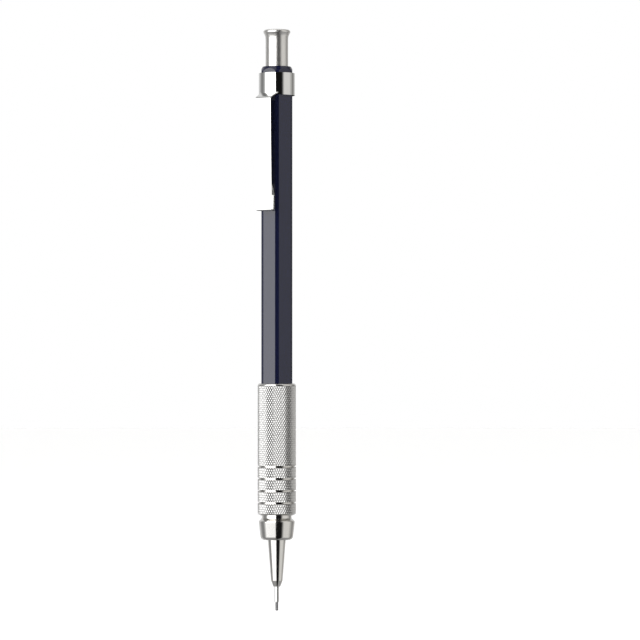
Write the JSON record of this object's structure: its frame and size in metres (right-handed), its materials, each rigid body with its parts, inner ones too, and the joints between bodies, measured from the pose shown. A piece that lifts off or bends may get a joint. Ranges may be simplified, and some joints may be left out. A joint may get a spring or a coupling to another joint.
{
  "type": "mechanical pencil",
  "caption": "Slim drafting pencil with a chamfered hexagonal barrel, knurled metal grip, turned nose with fixed lead sleeve, pocket clip and push cap.",
  "frame": {"origin": "centre of the lead sleeve's open end, on the pencil's axis", "axes": "+Z along the axis from the writing tip to the push cap; -Y towards the pocket clip"},
  "size_m": [0.0098, 0.0122, 0.1492],
  "materials": {
    "barrel_plastic": "glossy, very dark navy, moulded",
    "nose_metal": "polished plating, faint turning lines",
    "grip_metal": "bright, fine diamond knurl",
    "clip_metal": "polished plated sheet",
    "cap_metal": "polished plating",
    "steel_tube": "drawn steel tube",
    "ferrule_metal": "drawn sheet",
    "spring_steel": "wire",
    "brass": "turned",
    "brake_rubber": "soft, matte",
    "eraser_rubber": "matte white vinyl",
    "white_plastic": "moulded",
    "grey_plastic": "extruded tube",
    "graphite": "polymer-bonded graphite, satin"
  },
  "bodies": {
    "housing": {"barrel": "barrel_plastic", "grip_sleeve": "grip_metal", "threaded_bushing": "brass", "mechanism_tube": "brass", "return_spring": "spring_steel"},
    "nose": {"nose_cone": "nose_metal", "lead_sleeve": "steel_tube", "lead_brake": "brake_rubber"},
    "pusher": {"chuck": "brass", "chuck_connector": "white_plastic", "lead_reservoir": "grey_plastic", "spare_leads": "graphite"},
    "clutch": {"clutch_ring": "brass"},
    "cap": {"push_cap": "cap_metal"},
    "eraser_unit": {"eraser": "eraser_rubber", "eraser_ferrule": "ferrule_metal"},
    "lead": {"writing_lead": "graphite"},
    "clip": {"pocket_clip": "clip_metal"}
  },
  "joints": [
    {"name": "button_press", "type": "slide", "parent": "housing", "child": "pusher", "axis": [0, 0, -1], "range_m": [0, 0.0035], "stiffness_N_per_m": 800, "springref_m": -0.004, "deforming": ["return_spring"]},
    {"name": "clutch_slide", "type": "slide", "parent": "housing", "child": "clutch", "axis": [0, 0, -1], "range_m": [0, 0.002]},
    {"name": "lead_feed", "type": "slide", "parent": "housing", "child": "lead", "axis": [0, 0, -1], "range_m": [-0.0022, 0.02]},
    {"name": "nose_off", "type": "slide", "parent": "housing", "child": "nose", "axis": [0, 0, -1], "range_m": [0, 0.026]},
    {"name": "cap_off", "type": "slide", "parent": "pusher", "child": "cap", "axis": [0, 0, 1], "range_m": [0, 0.016]},
    {"name": "eraser_off", "type": "slide", "parent": "pusher", "child": "eraser_unit", "axis": [0, 0, 1], "range_m": [0, 0.008]},
    {"name": "clip_off", "type": "slide", "parent": "housing", "child": "clip", "axis": [0, 0, 1], "range_m": [0, 0.008]}
  ],
  "couplings": [
    {"joint": "clutch_slide", "follows": "button_press", "ratio": 0.57143},
    {"joint": "eraser_off", "follows": "cap_off", "ratio": 0.5}
  ]
}
